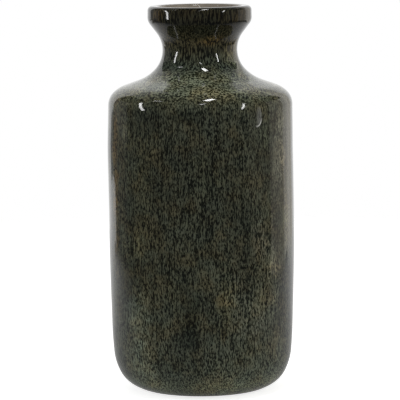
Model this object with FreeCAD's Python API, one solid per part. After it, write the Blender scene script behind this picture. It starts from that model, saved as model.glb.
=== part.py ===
import FreeCAD, Part
import math
import os

# Bottle vase in glazed stoneware: a tall barrel body, a flat shoulder, a short pinched
# neck and a wide collar. Millimetres, +Z up. The origin is the centre of the footprint,
# on the surface that the felt pads stand on.
#
# The named sizes are those of the fired clay, and the glazes lie on it. Each diameter
# and each height of the outline belongs to a corner where two straight stretches would
# meet, and the round named with it eases that corner. A height is counted from the
# corner below, so a taller stretch lifts everything above it.

# Felt pads, stuck to the dry ring under the foot
pad_count = 4
pad_diameter = 12.0
pad_thickness = 2.0

# Foot: a flat ring round a shallow dome, and a bevel where the glaze is wiped off
dome_depth = 3.5
ring_width = 24.0
bevel_width = 16.9
bevel_height = 4.2
foot_diameter = 152.1
foot_round = 29.6

# Body: it widens quickly over the heel, then slowly to the belly and back
heel_diameter = 174.4
heel_height = 21.4
heel_round = 56.0
wall_foot_diameter = 178.8
wall_foot_height = 24.5
wall_foot_round = 400.0
belly_diameter = 183.8
belly_height = 97.6
belly_round = 1500.0

# Shoulder: a tight round edge, then a low cone that sweeps up into the neck
shoulder_diameter = 181.2
shoulder_height = 142.5
shoulder_round = 17.6
cone_diameter = 160.6
cone_height = 8.75
cone_round = 30.0
root_diameter = 103.9
root_height = 10.1
root_round = 44.0

# Neck: pinched between the sweep below and the flare above
neck_diameter = 72.9
neck_sweep_height = 15.5
neck_sweep_round = 29.0
neck_height = 21.3
neck_flare_round = 28.6

# Collar: a plain band that leans in a little, with a thick crowned lip
collar_diameter = 102.0
collar_lip_diameter = 101.4
collar_flare_height = 19.3
collar_round = 10.4
collar_height = 13.0
lip_width = 9.3
lip_crown = 1.1
lip_round = 3.9
crest_round = 11.4
mouth_round = 2.4

# Clay wall and floor, and the least round of the inside
wall_thickness = 6.0
floor_thickness = 8.0
floor_round = 14.0
inside_round = 4.0

# Glazes, one outside and one inside
coat_thickness = 0.6

# Shares: where the outer glaze starts across the bevel, how far up the pinched neck the
# two glazes meet inside, and how far in from the collar the lip is highest
glaze_line_share = 0.19
glaze_meeting_share = 0.68
crest_share = 0.57

# Two neighbouring rounds may meet with a straight stretch shorter than this left out
shortest_stretch = 0.01

# Levels of the outline's corners, from the table up
ring_level = pad_thickness
bevel_level = ring_level + bevel_height
heel_level = bevel_level + heel_height
wall_foot_level = heel_level + wall_foot_height
belly_level = wall_foot_level + belly_height
shoulder_level = belly_level + shoulder_height
cone_level = shoulder_level + cone_height
root_level = cone_level + root_height
neck_level = root_level + neck_sweep_height
flare_level = neck_level + neck_height
collar_level = flare_level + collar_flare_height
lip_level = collar_level + collar_height
dome_level = ring_level + dome_depth
floor_level = dome_level + floor_thickness

# Radii under the foot, from the bevel inwards
ring_outer_radius = foot_diameter / 2 - bevel_width
ring_inner_radius = ring_outer_radius - ring_width
pad_circle_radius = (ring_outer_radius + ring_inner_radius) / 2

# The dome is part of a sphere, level on the axis and as deep as named at the ring
dome_round = (ring_inner_radius ** 2 + dome_depth ** 2) / (2 * dome_depth)
dome_corner_radius = dome_round * math.tan(math.asin(ring_inner_radius / dome_round) / 2)


def spot(corner):
    """Place of a corner (radius, level, round) in the half section."""
    radius, level, _ = corner
    return FreeCAD.Vector(radius, 0, level)


def way_between(corner, following):
    """Direction from one corner to the next."""
    return (spot(following) - spot(corner)).normalize()


def air_beside(way):
    """Direction out of the clay, which lies on the left of the way round its section."""
    return FreeCAD.Vector(way.z, 0, -way.x)


def bulges(way_in, way_out):
    """Whether the clay bulges at a corner, so that its round has its centre inside."""
    return way_in.x * way_out.z > way_in.z * way_out.x


def inset(corners, depth):
    """Corners of the outline that runs at one depth inside the clay, without its two ends."""
    inner = []
    for before, corner, after in zip(corners, corners[1:], corners[2:]):
        way_in = way_between(before, corner)
        way_out = way_between(corner, after)
        airs = air_beside(way_in) + air_beside(way_out)
        place = spot(corner) - airs * (depth * 2 / airs.dot(airs))
        ease = corner[2] + depth
        if bulges(way_in, way_out):
            ease = max(corner[2] - depth, inside_round)
        inner.append((place.x, place.z, ease))
    return inner


def between(corner, following, share):
    """A plain point on the stretch from one corner to the next, for a split there."""
    place = spot(corner) + (spot(following) - spot(corner)) * share
    return (place.x, place.z, 0)


def at_level(corner, following, level, ease):
    """The corner that the stretch between two corners makes with a level."""
    share = (level - corner[1]) / (following[1] - corner[1])
    radius = corner[0] + (following[0] - corner[0]) * share
    return (radius, level, ease)


def bend(place, way_in, way_out, ease):
    """Stations (place, air) at the start, middle and end of the arc that eases a corner."""
    setback = ease * math.tan(way_in.getAngle(way_out) / 2)
    start = place - way_in * setback
    end = place + way_out * setback
    side = 1 if bulges(way_in, way_out) else -1
    centre = start - air_beside(way_in) * (ease * side)
    middle_way = (place - centre).normalize()
    middle = centre + middle_way * ease
    return [(start, air_beside(way_in)), (middle, middle_way * side), (end, air_beside(way_out))]


def eased(corners):
    """Runs of the outline through the corners, straight with two stations or arcs with three.

    Where two neighbouring rounds need more than the stretch between them, both give way alike.
    """
    ways = [way_between(a, b) for a, b in zip(corners, corners[1:])]
    lengths = [(spot(b) - spot(a)).Length for a, b in zip(corners, corners[1:])]
    setbacks = [corner[2] * math.tan(a.getAngle(b) / 2) for a, b, corner in zip(ways, ways[1:], corners[1:])]
    setbacks = [0] + setbacks + [0]
    fits = [length / max(length, a + b) for length, a, b in zip(lengths, setbacks, setbacks[1:])]
    runs = []
    last = (spot(corners[0]), air_beside(ways[0]))
    for index, corner in enumerate(corners[1:-1]):
        way_in, way_out = ways[index], ways[index + 1]
        ease = corner[2] * min(fits[index], fits[index + 1])
        bent = bend(spot(corner), way_in, way_out, ease) if ease > 0 else []
        reached = bent[0] if bent else (spot(corner), air_beside(way_in))
        if (reached[0] - last[0]).Length > shortest_stretch:
            runs.append([last, reached])
        if bent:
            runs.append(bent)
        last = (bent[-1][0] if bent else spot(corner), air_beside(way_out))
    end = (spot(corners[-1]), air_beside(ways[-1]))
    if (end[0] - last[0]).Length > shortest_stretch:
        runs.append([last, end])
    return runs


def edges(runs, depth):
    """Edges of the runs, moved out of the clay by a depth."""
    shapes = []
    for run in runs:
        points = [place + air * depth for place, air in run]
        curve = Part.LineSegment(*points) if len(points) == 2 else Part.Arc(*points)
        shapes.append(curve.toShape())
    return shapes


def line(start, end):
    """Straight edge between two points."""
    return Part.LineSegment(start, end).toShape()


def turned(outline):
    """Solid made by turning a closed half section about the axis."""
    face = Part.Face(Part.Wire(outline))
    return face.revolve(FreeCAD.Vector(0, 0, 0), FreeCAD.Vector(0, 0, 1), 360)


def coat_end(station):
    """Square end of a coat, across its thickness."""
    place, air = station
    return line(place, place + air * coat_thickness)


def glaze_coat(runs):
    """Even coat on the runs of the clay's outline."""
    skin = edges(runs, coat_thickness)
    return turned(edges(runs, 0) + [coat_end(runs[-1][-1])] + skin[::-1] + [coat_end(runs[0][0])])


def outside_corners():
    """Clay outline from the foot's bevel up to the crest of the lip."""
    crest_radius = collar_lip_diameter / 2 - lip_width * crest_share
    return [
        (ring_outer_radius, ring_level, 0),
        (foot_diameter / 2, bevel_level, foot_round),
        (heel_diameter / 2, heel_level, heel_round),
        (wall_foot_diameter / 2, wall_foot_level, wall_foot_round),
        (belly_diameter / 2, belly_level, belly_round),
        (shoulder_diameter / 2, shoulder_level, shoulder_round),
        (cone_diameter / 2, cone_level, cone_round),
        (root_diameter / 2, root_level, root_round),
        (neck_diameter / 2, neck_level, neck_sweep_round),
        (neck_diameter / 2, flare_level, neck_flare_round),
        (collar_diameter / 2, collar_level, collar_round),
        (collar_lip_diameter / 2, lip_level, lip_round),
        (crest_radius, lip_level + lip_crown, crest_round),
    ]


def clay_outline():
    """Runs of the whole clay outline to the axis: the dry part, under the outer glaze, under the liner."""
    outside = outside_corners()
    ring_corner, foot_corner = outside[:2]
    dome = [
        (0, dome_level, 0),
        (dome_corner_radius, dome_level, dome_round),
        (ring_inner_radius, ring_level, 0),
    ]
    glaze_line = between(ring_corner, foot_corner, glaze_line_share)
    mouth = (collar_lip_diameter / 2 - lip_width, lip_level, mouth_round)

    # The inside follows the outside at the wall's thickness, from the heel to the neck
    foot_stretch = inset(outside[:4], wall_thickness)
    wall = inset(outside[1:11], wall_thickness)
    floor_corner = at_level(foot_stretch[0], foot_stretch[1], floor_level, floor_round)
    meeting = between(wall[-2], wall[-1], glaze_meeting_share)

    dry = dome + [ring_corner, glaze_line]
    glazed = [glaze_line] + outside[1:] + [mouth, wall[-1], meeting]
    lined = [meeting] + wall[-2::-1] + [floor_corner, (0, floor_level, 0)]
    return eased(dry), eased(glazed), eased(lined)


def vase():
    """Clay body and its two glazes."""
    dry, glazed, lined = clay_outline()
    axis = line(lined[-1][-1][0], dry[0][0][0])
    clay = turned(edges(dry + glazed + lined, 0) + [axis])

    # The liner ends on the axis, where its square end lies along the axis
    return {"clay_body": clay, "outer_glaze": glaze_coat(glazed), "liner_glaze": glaze_coat(lined)}


def felt_pads():
    """Felt discs spread evenly round the middle of the dry ring."""
    pads = {}
    for index in range(pad_count):
        angle = math.tau * (index + 1 / 2) / pad_count
        centre = FreeCAD.Vector(math.cos(angle), math.sin(angle), 0) * pad_circle_radius
        pads["felt_pad_%d" % (index + 1)] = Part.makeCylinder(pad_diameter / 2, pad_thickness, centre)
    return pads


def main():
    os.makedirs("parts", exist_ok=True)
    nodes = {**vase(), **felt_pads()}
    for name, shape in nodes.items():
        shape.exportStep("parts/%s.step" % name)
        print(name, "valid", shape.isValid(), "solids", len(shape.Solids), "volume", round(shape.Volume, 1))


main()
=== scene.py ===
import math

import bmesh
import bpy
from mathutils import Matrix, Vector, noise


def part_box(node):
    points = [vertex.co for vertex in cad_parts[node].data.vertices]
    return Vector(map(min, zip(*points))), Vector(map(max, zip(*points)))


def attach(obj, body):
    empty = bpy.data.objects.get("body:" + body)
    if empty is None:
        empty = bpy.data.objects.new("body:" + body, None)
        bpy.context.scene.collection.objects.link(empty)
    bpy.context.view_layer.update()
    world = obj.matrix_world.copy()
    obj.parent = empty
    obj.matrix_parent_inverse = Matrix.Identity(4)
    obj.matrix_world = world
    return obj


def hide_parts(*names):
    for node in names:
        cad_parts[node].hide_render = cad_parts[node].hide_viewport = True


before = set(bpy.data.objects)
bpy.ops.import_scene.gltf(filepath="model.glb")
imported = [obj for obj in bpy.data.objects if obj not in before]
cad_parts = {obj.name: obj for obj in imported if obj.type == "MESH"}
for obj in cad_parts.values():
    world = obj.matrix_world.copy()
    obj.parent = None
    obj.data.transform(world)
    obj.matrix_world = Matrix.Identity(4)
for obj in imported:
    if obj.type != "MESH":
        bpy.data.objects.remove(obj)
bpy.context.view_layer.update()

# Corners of the fired clay's outline, from the foot over the lip into the throat:
# radius, level above the table, and the round that eases the corner
ring = (0.05915, 0.00200, 0)
foot = (0.07605, 0.00620, 0.0296)
heel = (0.08720, 0.02760, 0.0560)
wall_foot = (0.08940, 0.05210, 0.4000)
belly = (0.09190, 0.14970, 1.5000)
shoulder = (0.09060, 0.29220, 0.0176)
cone = (0.08030, 0.30095, 0.0300)
neck_root = (0.05195, 0.31105, 0.0440)
neck = (0.03645, 0.32655, 0.0290)
flare = (0.03645, 0.34785, 0.0286)
collar = (0.05100, 0.36715, 0.0104)
lip = (0.05070, 0.38015, 0.0039)
crest = (0.04540, 0.38125, 0.0114)
mouth = (0.04140, 0.38015, 0.0024)
throat = (0.03045, 0.34986, 0.0346)
meeting = (0.03045, 0.34160, 0)
corners = [
    foot, heel, wall_foot, belly, shoulder, cone, neck_root, neck, flare, collar, lip, crest,
    mouth, throat,
]
rim = (lip, mouth)

# Attribute that says how far along the outline a point of the glaze lies
along_name = "along"

# The glaze lies thicker on the crown, so that the rim is flatter than the clay under it
rim_fill = 0.0008

# Outer glaze: where it starts across the bevel under the foot, its thickness and the share of
# it at which the coat starts, and the bead in which it stopped running, whose middle and half
# width are shares of its length
glaze_line_share = 0.19
coat_thickness = 0.0006
coat_start_share = 0.35
bead_length = 0.0045
bead_rise = 0.0004
bead_middle_share = 0.6
bead_half_share = 0.35

# Mesh: length under which a stretch counts as none, steps along the outline, and segments
# round the axis
touching = 1e-6
straight_step = 0.0016
turn_step = math.radians(4)
glaze_segments = 440

# Unevenness of a hand-finished pot: slow waves and small ripples of the wall
wave_length = 0.085
wave_height = 0.00022
ripple_length = 0.022
ripple_height = 0.00004

# Swells and dents of the wall where the photograph shows them: azimuth from the camera in
# degrees, level, half spreads round the wall and up it, and how far the wall stands out
swells_and_dents = [
    (-78, 0.172, 34, 0.020, -0.00035),
    (-88, 0.243, 17, 0.032, 0.00090),
    (80, 0.240, 30, 0.018, -0.00025),
]

# Felt discs: their soft edge, the fuzz and its grain, and their mesh: the steps across the
# flat face, each a share of the radius, the turns in the soft edge and the segments round it
disc_edge = 0.0004
disc_fuzz = 0.00006
disc_grain = 0.0009
disc_step_share = 0.15
disc_steps = 5
disc_turns = (0, math.pi / 6, math.pi / 3, math.pi / 2)
disc_segments = 72

# Streaks of the wall: how much of the long ones is mixed in, and how much stronger than the
# noise their contrast is
long_streak_share = 0.28
streak_contrast = 1.4

# Colours of the glaze, each with the value of a slow noise at which it is reached: streaks,
# the ground between them and the taupe inside the mouth
streak_tints = [
    (0.36, (0.118, 0.132, 0.092)),
    (0.50, (0.126, 0.134, 0.088)),
    (0.64, (0.146, 0.138, 0.082)),
]
ground_tints = [(0.38, (0.0045, 0.0070, 0.0045)), (0.62, (0.0070, 0.0072, 0.0028))]
mouth_tints = [(0.35, (0.36, 0.315, 0.258)), (0.65, (0.46, 0.408, 0.332))]

# How many times lighter each colour is at the start of the glaze and from there along the
# outline: corner, distance past it, and gains. The glaze is paler where it lay flat and
# darkest on the collar
start_gain = (3.00, 3.20, 2.85)
zone_gains = [
    (wall_foot, -0.040, (2.75, 2.85, 2.75)),
    (wall_foot, -0.030, (1.65, 1.70, 1.72)),
    (wall_foot, -0.016, (1.32, 1.35, 1.38)),
    (wall_foot, 0.004, (1.22, 1.22, 1.24)),
    (wall_foot, 0.050, (1.00, 1.00, 1.00)),
    (shoulder, -0.014, (1.00, 1.00, 1.00)),
    (shoulder, 0.004, (1.50, 1.50, 1.44)),
    (cone, 0.002, (2.40, 2.40, 2.35)),
    (neck_root, 0.002, (2.40, 2.40, 2.35)),
    (neck, -0.005, (0.85, 0.97, 1.02)),
    (neck, 0.010, (1.00, 0.96, 0.88)),
    (flare, 0.000, (1.35, 1.10, 0.86)),
    (flare, 0.010, (0.75, 0.66, 0.55)),
    (collar, 0.000, (0.40, 0.36, 0.31)),
    (crest, 0.000, (0.42, 0.36, 0.30)),
]

# Clouds and runs of the glaze, and painted sheens and reflections: azimuth from the camera in
# degrees, radius, level, half width, half height, and how many times lighter each colour is there
wall = belly[0]
clouds_runs_and_painted_sheens = [
    (-66, wall, 0.210, 0.010, 0.110, (1.9, 1.35, 1.0)),
    (-53, wall, 0.263, 0.007, 0.013, (1.50, 1.45, 1.40)),
    (-55, wall, 0.149, 0.008, 0.016, (1.60, 1.50, 1.40)),
    (-38, wall, 0.200, 0.020, 0.110, (1.25, 1.22, 1.15)),
    # Painted sheen: bluish grey low on the left of the wall
    (-45, wall, 0.085, 0.026, 0.036, (1.65, 1.75, 1.85)),
    (-6, wall, 0.083, 0.011, 0.045, (0.62, 0.66, 0.66)),
    (-12, wall, 0.062, 0.024, 0.012, (0.64, 0.68, 0.70)),
    (-17, wall, 0.112, 0.009, 0.026, (1.20, 1.18, 1.12)),
    (15, wall, 0.103, 0.013, 0.040, (1.50, 1.40, 1.25)),
    (38, wall, 0.155, 0.014, 0.024, (1.62, 1.53, 1.60)),
    (-44, wall, 0.153, 0.018, 0.020, (1.50, 1.42, 1.30)),
    (5, wall, 0.218, 0.022, 0.022, (1.30, 1.30, 1.25)),
    (-10, wall, 0.279, 0.030, 0.011, (0.62, 0.66, 0.66)),
    (12, wall, 0.068, 0.014, 0.010, (0.76, 0.78, 0.80)),
    (38, wall, 0.072, 0.016, 0.020, (1.37, 1.31, 1.38)),
    # Painted sheen: bluish grey low on the left of the wall
    (-37, wall, 0.102, 0.009, 0.009, (1.70, 1.75, 1.80)),
    (-50, wall, 0.255, 0.009, 0.014, (1.60, 1.50, 1.40)),
    (43, wall, 0.256, 0.008, 0.014, (1.50, 1.50, 1.40)),
    (-29, wall, 0.254, 0.014, 0.012, (1.35, 1.30, 1.25)),
    (-1, wall, 0.235, 0.014, 0.010, (1.35, 1.35, 1.30)),
    (-20, wall_foot[0], 0.034, 0.024, 0.013, (0.78, 0.82, 0.84)),
    # Painted light: the right side of the wall lighter where side light falls, and a painted
    # reflection of a warm thing in the narrow bands near its edge
    (42, wall, 0.110, 0.026, 0.066, (1.85, 1.77, 1.75)),
    (50, wall, 0.130, 0.013, 0.045, (2.2, 2.06, 2.06)),
    (57, wall, 0.242, 0.015, 0.050, (3.6, 3.25, 3.45)),
    (64, wall, 0.180, 0.008, 0.040, (2.2, 2.0, 1.75)),
    (24, wall, 0.105, 0.020, 0.055, (1.6, 1.53, 1.55)),
    # Painted sheen: bluish grey low on the left of the wall
    (-46, wall, 0.034, 0.032, 0.026, (1.75, 1.85, 1.95)),
    (13, wall, 0.065, 0.005, 0.009, (1.35, 1.15, 1.0)),
    (55, neck[0], 0.336, 0.014, 0.017, (2.7, 2.45, 2.25)),
    (15, neck[0], 0.350, 0.016, 0.009, (1.9, 1.5, 1.1)),
    (-55, collar[0], 0.374, 0.014, 0.010, (2.3, 1.85, 1.5)),
    (52, collar[0], 0.374, 0.016, 0.010, (1.7, 1.4, 1.25)),
]

# How far the edge of a patch is torn by noise, and its full core, in half widths
patch_tear = 1.6
patch_core = 0.15

# A drip below the shoulder's edge, painted pale grey as a painted reflection, the side on which
# that painted reflection shows and where its rim carries a painted highlight: azimuth, radius,
# level, half width and half height. The two tones of the painted reflection are those of its
# ground and of its streaks
drip = (36.5, wall, 0.2785, 0.0066, 0.0112)
drip_reflection_side = (40.0, wall, 0.2770, 0.0085, 0.0170)
drip_reflection_tones = ((0.120, 0.125, 0.115), (0.300, 0.305, 0.285))
# Painted highlight: a pale crescent on the lower right of the drip's rim
drip_highlight_spot = (40.0, wall, 0.2700, 0.0080, 0.0068)
drip_highlight_colour = (0.90, 0.90, 0.86)

# Numbers of a mix node's sockets: its share and its two colours, and its result
mix_sockets = (0, 6, 7)
mix_result = 2

# Camera, fitted to the ellipses of the foot and the mouth and to the whole outline, how far
# its aim lies right of and above the middle of the picture, and the factor by which its nearest
# and farthest sight differ from its distance
aim = Vector((0, 0, 0.1903))
camera_elevation = math.radians(7.0)
camera_distance = 2.49
camera_roll = math.radians(-0.56)
sensor = 36
lens = 225
frame_pixels = 400
aim_right_pixels = 1.34
aim_up_pixels = 1.91
clip_factor = 100

# Floor: half its size, the squares of its mesh along an edge, how far behind the vase its
# middle lies, how far in front of the axis it starts to fade and over what length, and the grey
# of the paper; the lift keeps it white to the camera. In reflections it is as bright as the
# levels say: (Y, brightness)
floor_half = 1.4
floor_squares = 8
floor_middle = 0.45
floor_front = 0.18
floor_fade = 0.25
floor_grey = 0.75
floor_lift = 0.80
floor_levels = [(-0.14, 0.12), (0.04, 0.40), (0.25, 0.55), (0.45, 0.72), (0.80, 0.92)]

# Light: brightness of the room in front of the vase, as a share of white, the colours of the
# cards, and the point that the lamps face
room_level = 0.08
white = (1, 1, 1)
warm = (1.0, 0.94, 0.82)
cream = (1.0, 0.96, 0.88)
light_focus = Vector((0, 0, 0.29))

# Studio: X of its left and right wall, Y of its backdrop and level of its ceiling
left_at = -1.5
right_at = 1.75
back_at = 1.6
top_at = 1.95

# Cards that show only in the gloss: name, left and right end in the plan, low and high
# level, brightness, where 1 is white, and colour. Those on the left are cut so that the light
# band on the wall of the vase is as wide at each level as in the photograph
backdrop_cards = [
    ("backdrop", (-1.15, back_at), (0.9, back_at), -0.3, 1.2, 1.05, white),
    ("backdrop top, left", (-1.15, back_at), (0.1, back_at), 1.2, top_at, 0.97, white),
    ("backdrop top, right", (0.1, back_at), (0.9, back_at), 1.2, top_at, 0.68, white),
    ("backdrop left, low", (left_at, back_at), (-1.15, back_at), -0.3, -0.02, 1.05, white),
    ("backdrop left, dim", (left_at, back_at), (-1.15, back_at), -0.02, 0.12, 0.30, white),
    ("backdrop left, high", (left_at, back_at), (-1.15, back_at), 0.12, top_at, 1.05, white),
    ("backdrop right", (0.9, back_at), (1.3, back_at), -0.3, top_at, 0.94, cream),
    ("backdrop end", (1.3, back_at), (right_at, back_at), -0.3, top_at, 1.22, cream),
]
side_cards = [
    ("right wall end", (right_at, 1.1), (right_at, back_at), -0.2, 1.1, 1.10, cream),
    ("right wall", (right_at, 0.1), (right_at, 1.1), -0.2, 1.1, 0.60, warm),
    ("right room", (1.45, -0.85), (right_at, 0.1), 0.0, 1.1, 0.20, warm),
    ("left wall", (left_at, 0.3), (left_at, back_at), 0.12, 0.9, 0.25, white),
    ("left wall, low", (left_at, 0.3), (left_at, 1.32), -0.3, 0.12, 0.14, white),
    ("left wall end, dim", (left_at, 1.32), (left_at, back_at), -0.02, 0.12, 0.14, white),
    ("left wall end, light", (left_at, 1.32), (left_at, back_at), -0.14, -0.02, 1.00, white),
    ("left wall end, low", (left_at, 1.32), (left_at, back_at), -0.3, -0.14, 0.14, white),
]

# Cards of the ceiling: name, near left and far right corner in the plan, and brightness
ceiling_cards = [
    ("ceiling", (left_at, 1.0), (right_at, back_at), 0.55),
    ("side ceiling", (-1.75, 0.2), (-0.65, 1.0), 0.25),
    ("side ceiling", (0.65, 0.2), (1.75, 1.0), 0.25),
]

# Strip lamps: name, directions of the low and the high end (azimuth, elevation), distance,
# width and brightness. Fill lamp: name, azimuth, elevation, distance, size and brightness
strip_lamps = [
    ("left strip", (-73, -1), (-86, 30), 1.3, 0.100, 13),
    ("right strip", (51, 5), (60, 33), 1.4, 0.070, 16),
    ("upper bar", (-65, 50), (-80, 47), 1.5, 0.035, 13),
    ("top lamp", (11, 63), (40, 74), 1.5, 0.15, 23),
    ("front lamp", (-2, 40), (7, 45), 1.6, 0.05, 13),
]
fill_lamp = ("fill", 0, 30, 2.6, 1.6, 1.1)


def at(corner):
    """Place of a corner in the half section."""
    return Vector((corner[0], corner[1]))


def right_of(way):
    """Direction to the right of the way along the outline, which is out of the clay."""
    return Vector((way.y, -way.x))


def turned(direction, angle):
    """A direction in the half section turned counter-clockwise."""
    c, s = math.cos(angle), math.sin(angle)
    return Vector((c * direction.x - s * direction.y, s * direction.x + c * direction.y))


def straight(start, end, air):
    """Samples (place, air) from start up to, but without, the end."""
    if (end - start).length < touching:
        return []
    count = max(1, math.ceil((end - start).length / straight_step))
    return [(start.lerp(end, index / count), air) for index in range(count)]


def eased_outline(points):
    """Samples (place, air) along the outline, with each corner eased by its round.

    Where two neighbouring rounds need more than the stretch between them, both give way alike.
    """
    ways = [(at(b) - at(a)).normalized() for a, b in zip(points, points[1:])]
    lengths = [(at(b) - at(a)).length for a, b in zip(points, points[1:])]
    turns = [math.atan2(a.cross(b), a.dot(b)) for a, b in zip(ways, ways[1:])]
    setbacks = [0] + [p[2] * math.tan(abs(t) / 2) for p, t in zip(points[1:], turns)] + [0]
    fits = [length / max(length, a + b) for length, a, b in zip(lengths, setbacks, setbacks[1:])]
    samples = []
    last = at(points[0])
    for index, corner in enumerate(points[1:-1]):
        ease = corner[2] * min(fits[index], fits[index + 1])
        turn = turns[index]
        start = at(corner) - ways[index] * (ease * math.tan(abs(turn) / 2))
        air = right_of(ways[index])
        samples += straight(last, start, air)
        side = math.copysign(ease, turn)
        centre = start - air * side
        by_length = math.ceil(abs(turn) * ease / straight_step)
        count = max(1, math.ceil(abs(turn) / turn_step), by_length)
        airs = [turned(air, turn * step / count) for step in range(count + 1)]
        samples += [(centre + way_out * side, way_out) for way_out in airs[:-1]]
        last = centre + airs[-1] * side
    air = right_of(ways[-1])
    samples += straight(last, at(points[-1]), air)
    samples.append((at(points[-1]), air))
    return samples


def spread(value, middle, half):
    """A smooth hump of height 1 about the middle."""
    return math.exp(-((value - middle) / half) ** 2)


def out_of_true(place):
    """How far the glazed wall stands out of its true round at a place."""
    slow = noise.noise(place / wave_length) * wave_height
    quick = noise.noise(place / ripple_length) * ripple_height
    azimuth = math.degrees(math.atan2(place.x, -place.y))
    placed = sum(
        height * spread(azimuth, middle, half) * spread(place.z, level, rise)
        for middle, level, half, rise, height in swells_and_dents
    )
    return slow + quick + placed


def new_object(name, builder):
    """Object whose mesh is what the bmesh holds, smooth all over."""
    builder.normal_update()
    mesh = bpy.data.meshes.new(name)
    builder.to_mesh(mesh)
    builder.free()
    mesh.shade_smooth()
    piece = bpy.data.objects.new(name, mesh)
    bpy.context.scene.collection.objects.link(piece)
    return piece


def ring_of_vertices(builder, place, air, rise, uneven):
    """Vertices round the axis at a sample of the outline, raised out of the clay."""
    vertices = []
    for index in range(glaze_segments):
        azimuth = math.tau * index / glaze_segments
        outwards = Vector((math.cos(azimuth), math.sin(azimuth), 0))
        normal = outwards * air.x + Vector((0, 0, air.y))
        point = outwards * place.x + Vector((0, 0, place.y))
        lift = rise + (out_of_true(point) if uneven else 0)
        vertices.append(builder.verts.new(point + normal * lift))
    return vertices


def join_rings(builder, rings):
    """Quads between neighbouring rings."""
    for lower, upper in zip(rings, rings[1:]):
        for index in range(len(lower)):
            following = (index + 1) % len(lower)
            builder.faces.new((lower[index], lower[following], upper[following], upper[index]))


def coat_rise(distance):
    """Thickness of the coat along the outline: thin at its end, then a bead, then even."""
    share = distance / bead_length
    grown = coat_thickness * min(1, coat_start_share + share)
    return grown + bead_rise * spread(share, bead_middle_share, bead_half_share)


def glaze_samples(fill):
    """Samples of the outline under the outer glaze, with the rim raised by the fill."""
    start = at(ring).lerp(at(foot), glaze_line_share)
    raised = [(c[0], c[1] + fill, c[2]) if c in rim else c for c in corners]
    return eased_outline([(start.x, start.y, 0)] + raised + [meeting])


def lengths_along(samples):
    """Distance along the outline at each sample."""
    distances = [0]
    for (before, _), (place, _) in zip(samples, samples[1:]):
        distances.append(distances[-1] + (place - before).length)
    return distances


def nearest(samples, corner):
    """Number of the sample nearest to a corner."""
    return min(range(len(samples)), key=lambda index: (samples[index][0] - at(corner)).length)


def glaze_piece(samples, distances):
    """Outer glaze as a closed coat, uneven outside and true where it lies on the clay."""
    builder = bmesh.new()
    along = builder.verts.layers.float.new(along_name)
    outside = []
    for (place, air), distance in zip(samples, distances):
        outside.append(ring_of_vertices(builder, place, air, coat_rise(distance), True))
        for vertex in outside[-1]:
            vertex[along] = distance / distances[-1]
    on_clay = glaze_samples(0)[::-1]
    inside = [ring_of_vertices(builder, place, air, 0, False) for place, air in on_clay]
    join_rings(builder, outside + inside + outside[:1])
    bmesh.ops.recalc_face_normals(builder, faces=builder.faces)
    return new_object("glaze", builder)


def felt_disc(name, low, high):
    """Felt disc with a soft and slightly uneven edge, in the pad's own box."""
    centre = (low + high) / 2
    radius = (high.x - low.x) / 2
    half = (high.z - low.z) / 2
    builder = bmesh.new()
    rings = []
    section = [(disc_step_share * k * radius, half) for k in range(1, disc_steps + 1)]
    section += [
        (radius - disc_edge * (1 - math.sin(a)), half - disc_edge * (1 - math.cos(a)))
        for a in disc_turns
    ]
    section += [(r, -h) for r, h in section[::-1]]
    for r, h in section:
        row = []
        for index in range(disc_segments):
            angle = math.tau * index / disc_segments
            point = Vector((r * math.cos(angle), r * math.sin(angle), h))
            fuzz = noise.noise((centre + point) / disc_grain) * disc_fuzz
            inwards = Vector((point.x, point.y, 0)).normalized() * -abs(fuzz)
            row.append(builder.verts.new(centre + point + inwards))
        rings.append(row)
    join_rings(builder, rings)
    builder.faces.new(rings[0])
    builder.faces.new(rings[-1][::-1])
    bmesh.ops.recalc_face_normals(builder, faces=builder.faces)
    return new_object(name, builder)


def material(name):
    """New node material and its tree and main shader."""
    made = bpy.data.materials.new(name)
    made.use_nodes = True
    tree = made.node_tree
    return made, tree, tree.nodes["Principled BSDF"]


def bare_material(name):
    """New node material without a shader, its tree and the socket of its surface."""
    made = bpy.data.materials.new(name)
    made.use_nodes = True
    tree = made.node_tree
    tree.nodes.clear()
    return made, tree, node(tree, "ShaderNodeOutputMaterial").inputs["Surface"]


def node(tree, kind, **settings):
    """Node of a kind with its settings."""
    made = tree.nodes.new(kind)
    for key, value in settings.items():
        setattr(made, key, value)
    return made


def place_on_object(tree):
    """Socket with the place on the object, in metres."""
    return node(tree, "ShaderNodeTexCoord").outputs["Object"]


def grain(tree, place, scale, height_factor=1, detail=2, roughness=0.5, distortion=0):
    """Noise from 0 to 1 at a place, with about as many grains to the metre as the scale says.

    The height counts by its factor: one below 1 draws the grains out up and down.
    """
    if height_factor != 1:
        mapping = node(tree, "ShaderNodeMapping")
        mapping.inputs["Scale"].default_value = (1, 1, height_factor)
        tree.links.new(place, mapping.inputs["Vector"])
        place = mapping.outputs["Vector"]
    texture = node(tree, "ShaderNodeTexNoise")
    texture.inputs["Scale"].default_value = scale
    texture.inputs["Detail"].default_value = detail
    texture.inputs["Roughness"].default_value = roughness
    texture.inputs["Distortion"].default_value = distortion
    tree.links.new(place, texture.inputs["Vector"])
    return texture.outputs["Fac"]


def ramp(tree, socket, stops, smooth=False):
    """Colours along a value, from a list of (position, colour)."""
    made = node(tree, "ShaderNodeValToRGB")
    if smooth:
        made.color_ramp.interpolation = "EASE"
    elements = made.color_ramp.elements
    while len(elements) < len(stops):
        elements.new(0.5)
    for element, (position, colour) in zip(elements, stops):
        element.position = position
        element.color = (*colour, 1) if hasattr(colour, "__len__") else (colour, colour, colour, 1)
    tree.links.new(socket, made.inputs["Fac"])
    return made.outputs["Color"]


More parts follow.
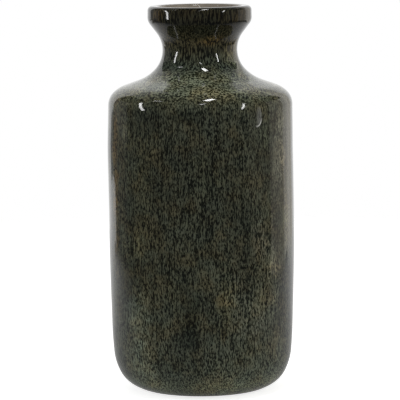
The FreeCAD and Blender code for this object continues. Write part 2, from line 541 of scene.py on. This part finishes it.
def mix(tree, share, first, second, blend="MIX"):
    """Mix of two colours by a share, which is a number or a socket."""
    made = node(tree, "ShaderNodeMix", data_type="RGBA", blend_type=blend)
    sockets = [made.inputs[index] for index in mix_sockets]
    for socket, value in zip(sockets, (share, first, second)):
        if isinstance(value, bpy.types.NodeSocket):
            tree.links.new(value, socket)
        elif hasattr(value, "__len__"):
            socket.default_value = (*value, 1)
        else:
            socket.default_value = value
    return made.outputs[mix_result]


def calculate(tree, operation, first, second):
    """Result of an operation on two values, each a number or a socket."""
    made = node(tree, "ShaderNodeMath", operation=operation)
    for socket, value in zip(made.inputs, (first, second)):
        if isinstance(value, bpy.types.NodeSocket):
            tree.links.new(value, socket)
        else:
            socket.default_value = value
    return made.outputs[0]


def shader_mix(tree, share, first, second):
    """Mix of two shaders by the share of the second."""
    made = node(tree, "ShaderNodeMixShader")
    for socket, value in zip(made.inputs, (share, first, second)):
        tree.links.new(value, socket)
    return made.outputs[0]


def bump(tree, shader, height, depth):
    """Relief of a depth in metres on the shader."""
    made = node(tree, "ShaderNodeBump")
    made.inputs["Strength"].default_value = 1.0
    made.inputs["Distance"].default_value = depth
    tree.links.new(height, made.inputs["Height"])
    tree.links.new(made.outputs["Normal"], shader.inputs["Normal"])


def reach_from(tree, place, azimuth, radius, level, half_width, half_height):
    """Distance from a spot on the glaze, which is 1 at the half width and half height."""
    a = math.radians(azimuth)
    shift = node(tree, "ShaderNodeMapping", vector_type="TEXTURE")
    shift.inputs["Location"].default_value = (math.sin(a) * radius, -math.cos(a) * radius, level)
    shift.inputs["Scale"].default_value = (half_width, half_width, half_height)
    tree.links.new(place, shift.inputs["Vector"])
    reach = node(tree, "ShaderNodeVectorMath", operation="LENGTH")
    tree.links.new(shift.outputs["Vector"], reach.inputs[0])
    return reach.outputs["Value"]


def blotch(tree, reach, rough):
    """Soft patch of 0 to 1 within a reach, with an edge torn by the rough noise."""
    tear = calculate(tree, "MULTIPLY", rough, patch_tear)
    tear = calculate(tree, "SUBTRACT", tear, patch_tear / 2)
    torn = calculate(tree, "ADD", reach, tear)
    return ramp(tree, torn, [(patch_core, 1), (1.0, 0)], smooth=True)


def streak_pattern(tree, place, along, stop):
    """Noise that is high on the streaks, which are longer on the neck than on the wall.

    On the shoulder the glaze lay flat, and its streaks give way to round cells.
    """
    short_streaks = grain(tree, place, 1080, 0.27, detail=2.5, roughness=0.6, distortion=0.2)
    long_streaks = grain(tree, place, 640, 0.07, detail=2, roughness=0.6, distortion=0.2)
    wall_streaks = mix(tree, long_streak_share, short_streaks, long_streaks)
    wall_streaks = calculate(tree, "MULTIPLY", wall_streaks, streak_contrast)
    wall_streaks = calculate(tree, "SUBTRACT", wall_streaks, (streak_contrast - 1) / 2)
    neck_streaks = grain(tree, place, 760, 0.16, detail=2, roughness=0.6, distortion=0.2)
    cells = grain(tree, place, 500, 0.8, detail=3, roughness=0.62)
    on_neck = ramp(tree, along, [(stop(neck_root, 0.004), 0), (stop(neck, -0.006), 1)])
    on_shoulder = ramp(tree, along, [
        (stop(shoulder, -0.006), 0), (stop(shoulder, 0.008), 1),
        (stop(neck_root, 0.004), 1), (stop(neck, -0.006), 0),
    ])
    streaks = mix(tree, on_neck, wall_streaks, neck_streaks)
    return mix(tree, on_shoulder, streaks, cells)


def with_clouds_runs_and_painted_sheens(tree, place, colour):
    """The colour with the clouds and runs of the glaze in their own tones, and painted sheens and
    reflections on the sides of the wall.
    """
    rough = grain(tree, place, 60, detail=3, roughness=0.6)
    for *spot, gain in clouds_runs_and_painted_sheens:
        patch = blotch(tree, reach_from(tree, place, *spot), rough)
        colour = mix(tree, patch, colour, mix(tree, 1.0, colour, gain, "MULTIPLY"))
    return colour


def with_drip_and_painted_light(tree, place, colour, light):
    """The colour with the drip, painted grey as a painted reflection and streaked like the rest,
    and a painted highlight on its rim.
    """
    reach = reach_from(tree, place, *drip)
    # Painted reflection: pale grey over the drip, strongest on one side
    side = ramp(tree, reach_from(tree, place, *drip_reflection_side), [(0.3, 0.8), (1.0, 0)], smooth=True)
    grey = calculate(tree, "MULTIPLY", side, ramp(tree, reach, [(0.78, 1), (1.0, 0)]))
    colour = mix(tree, grey, colour, mix(tree, light, *drip_reflection_tones))
    # Painted highlight: a pale crescent on the lit part of the drip's rim
    on_rim = ramp(tree, reach, [(0.80, 0), (0.89, 1), (0.95, 1), (1.0, 0)])
    lit = ramp(tree, reach_from(tree, place, *drip_highlight_spot), [(0.4, 1), (1.0, 0)])
    return mix(tree, calculate(tree, "MULTIPLY", on_rim, lit), colour, drip_highlight_colour)


def streaked_glaze(reach, total):
    """Dark glossy glaze with fine light streaks that ran down the wall.

    reach gives the distance along the outline at each corner, and total the whole length.
    """
    made, tree, shader = material("streaked glaze")
    place = place_on_object(tree)
    along = node(tree, "ShaderNodeAttribute", attribute_name=along_name).outputs["Fac"]

    def stop(corner, past=0):
        return (reach[corner] + past) / total

    # Light streaks on a dark ground, both of which drift in patches
    streaks = streak_pattern(tree, place, along, stop)
    light = ramp(tree, streaks, [(0.44, 0), (0.50, 0.30), (0.57, 1)])
    patches = grain(tree, place, 45, detail=3, roughness=0.6)
    ground = ramp(tree, patches, ground_tints)
    colour = mix(tree, light, ground, ramp(tree, patches, streak_tints))
    clouds = grain(tree, place, 17, 0.7, detail=3, roughness=0.6)
    shade = ramp(tree, clouds, [(0.35, 0.75), (0.65, 1.30)])
    colour = mix(tree, 1.0, colour, shade, "MULTIPLY")
    colour = with_clouds_runs_and_painted_sheens(tree, place, colour)
    colour = with_drip_and_painted_light(tree, place, colour, light)

    # Zones along the outline, and taupe inside the mouth
    stops = [(stop(corner, past), gain) for corner, past, gain in zone_gains]
    zones = ramp(tree, along, [(0, start_gain)] + stops)
    colour = mix(tree, 1.0, colour, zones, "MULTIPLY")
    inside = ramp(tree, along, [(stop(crest), 0), (stop(mouth, 0.001), 1)])
    colour = mix(tree, inside, colour, ramp(tree, patches, mouth_tints))
    tree.links.new(colour, shader.inputs["Base Color"])

    bump(tree, shader, grain(tree, place, 160), 0.00003)
    shader.inputs["Roughness"].default_value = 0.06
    shader.inputs["IOR"].default_value = 1.5
    return made


def plain_glaze():
    """Liner glaze: plain dark brown gloss with a faint mottle."""
    made, tree, shader = material("liner glaze")
    place = place_on_object(tree)
    mottle = grain(tree, place, 120, 0.5, detail=3, roughness=0.6)
    colour = ramp(tree, mottle, [(0.3, (0.030, 0.024, 0.018)), (0.7, (0.070, 0.058, 0.044))])
    tree.links.new(colour, shader.inputs["Base Color"])
    bump(tree, shader, grain(tree, place, 90), 0.00004)
    shader.inputs["Roughness"].default_value = 0.12
    return made


def stoneware():
    """Bare fired clay: matt buff-brown with fine grain, a broad mottle and specks."""
    made, tree, shader = material("bare stoneware")
    place = place_on_object(tree)
    fine = grain(tree, place, 900, detail=4, roughness=0.65)
    broad = grain(tree, place, 60, detail=3, roughness=0.6)
    colour = ramp(tree, fine, [(0.30, (0.36, 0.26, 0.19)), (0.70, (0.58, 0.45, 0.34))])
    colour = mix(tree, ramp(tree, broad, [(0.35, 0), (0.7, 0.35)]), colour, (0.40, 0.27, 0.18))
    specks = ramp(tree, grain(tree, place, 420, detail=1), [(0.70, 0), (0.74, 1)])
    colour = mix(tree, specks, colour, (0.10, 0.07, 0.05))
    tree.links.new(colour, shader.inputs["Base Color"])
    bump(tree, shader, fine, 0.00012)
    shader.inputs["Roughness"].default_value = 0.85
    return made


def felt():
    """Matt pressed felt with a mesh of short fibres."""
    made, tree, shader = material("felt")
    place = place_on_object(tree)
    fibres = grain(tree, place, 2200, 2.5, detail=4, roughness=0.7, distortion=1.5)
    colour = ramp(tree, fibres, [(0.3, (0.045, 0.040, 0.035)), (0.7, (0.15, 0.135, 0.12))])
    tree.links.new(colour, shader.inputs["Base Color"])
    bump(tree, shader, fibres, 0.00015)
    shader.inputs["Roughness"].default_value = 0.95
    shader.inputs["Sheen Weight"].default_value = 0.4
    return made


def glow(name, strength, colour):
    """Emission of a colour and a strength, where 1 is white."""
    made, tree, surface = bare_material(name)
    emission = node(tree, "ShaderNodeEmission")
    emission.inputs["Color"].default_value = (*colour, 1)
    emission.inputs["Strength"].default_value = strength
    tree.links.new(emission.outputs[0], surface)
    return made


def card(name, corners_of_card, strength, colour):
    """Flat glowing card that shows in reflections but not to the camera."""
    mesh = bpy.data.meshes.new(name)
    mesh.from_pydata([Vector(c) for c in corners_of_card], [], [(0, 1, 2, 3)])
    made = bpy.data.objects.new(name, mesh)
    bpy.context.scene.collection.objects.link(made)
    mesh.materials.append(glow(name, strength, colour))
    made.visible_camera = False


def upright(name, left, right, low, high, strength, colour):
    """Upright card between two points of the plan and two levels."""
    quad = [(*left, low), (*right, low), (*right, high), (*left, high)]
    card(name, quad, strength, colour)


def overhead(name, near_left, far_right, strength):
    """White card at the level of the ceiling, between two corners of the plan."""
    (left, near), (right, far) = near_left, far_right
    plan = [(left, near), (right, near), (right, far), (left, far)]
    card(name, [(x, y, top_at) for x, y in plan], strength, white)


def towards(azimuth, elevation):
    """Direction from the vase, with the azimuth in degrees to the right of the camera."""
    a, e = math.radians(azimuth), math.radians(elevation)
    return Vector((math.sin(a) * math.cos(e), -math.cos(a) * math.cos(e), math.sin(e)))


def area_lamp(name, middle, facing, lengthways, length, width, strength):
    """Rectangular lamp whose face is as bright as the strength says, where 1 is white."""
    light = bpy.data.lights.new(name, "AREA")
    light.shape = "RECTANGLE"
    light.size = length
    light.size_y = width
    light.energy = strength * math.pi * length * width
    made = bpy.data.objects.new(name, light)
    z = facing.normalized()
    y = z.cross(lengthways).normalized()
    x = y.cross(z)
    made.matrix_world = Matrix.Translation(middle) @ Matrix((x, y, z)).transposed().to_4x4()
    bpy.context.scene.collection.objects.link(made)
    made.visible_camera = False
    return made


def bar(name, low_end, high_end, distance, width, strength):
    """Strip lamp between two directions (azimuth, elevation) at a distance from the shoulder."""
    a, b = (towards(*end) * distance for end in (low_end, high_end))
    middle = (a + b) / 2
    area_lamp(name, light_focus + middle, middle, b - a, (b - a).length, width, strength)


def soft_fill(name, azimuth, elevation, distance, size, strength):
    """Large soft lamp that lights the colour of the glaze and doesn't show in its gloss."""
    away = towards(azimuth, elevation)
    middle = light_focus + away * distance
    made = area_lamp(name, middle, away, Vector((1, 0, 0)), size, size, strength)
    made.visible_glossy = False


def paper():
    """White paper, which fades out into the white background."""
    made, tree, surface = bare_material("floor paper")
    place = place_on_object(tree)
    path = node(tree, "ShaderNodeLightPath").outputs

    # The camera sees it lifted towards white
    diffuse = node(tree, "ShaderNodeBsdfDiffuse")
    diffuse.inputs["Color"].default_value = (floor_grey, floor_grey, floor_grey, 1)
    direct = calculate(tree, "MULTIPLY", path["Is Camera Ray"], floor_lift)
    lift = node(tree, "ShaderNodeEmission")
    tree.links.new(direct, lift.inputs["Strength"])
    lifted = node(tree, "ShaderNodeAddShader")
    tree.links.new(diffuse.outputs[0], lifted.inputs[0])
    tree.links.new(lift.outputs[0], lifted.inputs[1])

    # Reflections see an even paper, which is brighter behind the vase than under it
    parts = node(tree, "ShaderNodeSeparateXYZ")
    tree.links.new(place, parts.inputs["Vector"])
    start = floor_levels[0][0]
    back = calculate(tree, "SUBTRACT", parts.outputs["Y"], start)
    levels = ramp(tree, back, [(y - start, level) for y, level in floor_levels])
    pale = node(tree, "ShaderNodeEmission")
    tree.links.new(levels, pale.inputs["Strength"])
    mirrored = calculate(tree, "MAXIMUM", path["Is Glossy Ray"], path["Is Transmission Ray"])
    seen = shader_mix(tree, mirrored, lifted.outputs[0], pale.outputs[0])

    # It ends softly at a distance from a point behind the vase
    shift = node(tree, "ShaderNodeMapping")
    shift.inputs["Location"].default_value = (0, -floor_middle, 0)
    tree.links.new(place, shift.inputs["Vector"])
    away = node(tree, "ShaderNodeVectorMath", operation="LENGTH")
    tree.links.new(shift.outputs["Vector"], away.inputs[0])
    fading = floor_middle + floor_front
    gone = ramp(tree, away.outputs["Value"], [(fading, 0), (fading + floor_fade, 1)])
    clear = node(tree, "ShaderNodeBsdfTransparent").outputs[0]
    tree.links.new(shader_mix(tree, gone, seen, clear), surface)
    return made


def floor_piece():
    """Sheet of paper under the vase."""
    builder = bmesh.new()
    bmesh.ops.create_grid(
        builder, x_segments=floor_squares, y_segments=floor_squares, size=floor_half,
    )
    made = new_object("floor", builder)
    made.data.materials.append(paper())


def studio():
    """White backdrop and ceiling behind the vase, a dim room in front and soft lamps."""
    for each in backdrop_cards:
        upright(*each)
    for each in ceiling_cards:
        overhead(*each)
    for each in side_cards:
        upright(*each)
    for each in strip_lamps:
        bar(*each)
    soft_fill(*fill_lamp)

    world = bpy.data.worlds.new("studio")
    bpy.context.scene.world = world
    world.use_nodes = True
    tree = world.node_tree
    background = tree.nodes["Background"]
    seen = node(tree, "ShaderNodeLightPath").outputs["Is Camera Ray"]
    brightness = ramp(tree, seen, [(0, room_level), (1, 1.0)])
    tree.links.new(brightness, background.inputs["Color"])


def photo_camera():
    """Camera at the photograph's viewing angle, with its small roll and offset."""
    data = bpy.data.cameras.new("camera")
    data.sensor_width = sensor
    data.lens = lens
    data.shift_x = -aim_right_pixels / frame_pixels
    data.shift_y = -aim_up_pixels / frame_pixels
    data.clip_start = camera_distance / clip_factor
    data.clip_end = camera_distance * clip_factor
    made = bpy.data.objects.new("camera", data)
    bpy.context.scene.collection.objects.link(made)
    back = Vector((0, -math.cos(camera_elevation), math.sin(camera_elevation)))
    turn = back.to_track_quat("Z", "Y").to_matrix() @ Matrix.Rotation(camera_roll, 3, "Z")
    made.matrix_world = Matrix.Translation(aim + back * camera_distance) @ turn.to_4x4()
    bpy.context.scene.camera = made


def dress():
    """Pieces and finishes of the vase itself."""
    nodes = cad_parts
    samples = glaze_samples(rim_fill)
    distances = lengths_along(samples)
    reach = {corner: distances[nearest(samples, corner)] for corner in corners}
    glaze = glaze_piece(samples, distances)
    glaze.data.materials.append(streaked_glaze(reach, distances[-1]))
    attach(glaze, "root")
    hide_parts("outer_glaze")

    for name, finish in (("clay_body", stoneware()), ("liner_glaze", plain_glaze())):
        nodes[name].material_slots[0].material = finish

    nap = felt()
    pads = sorted(name for name in nodes if name.startswith("felt_pad"))
    for number, name in enumerate(pads, 1):
        disc = felt_disc("felt_disc_%d" % number, *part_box(name))
        disc.data.materials.append(nap)
        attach(disc, "root")
        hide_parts(name)


photo_camera()
dress()
floor_piece()
studio()
bpy.context.scene.view_settings.view_transform = "Standard"
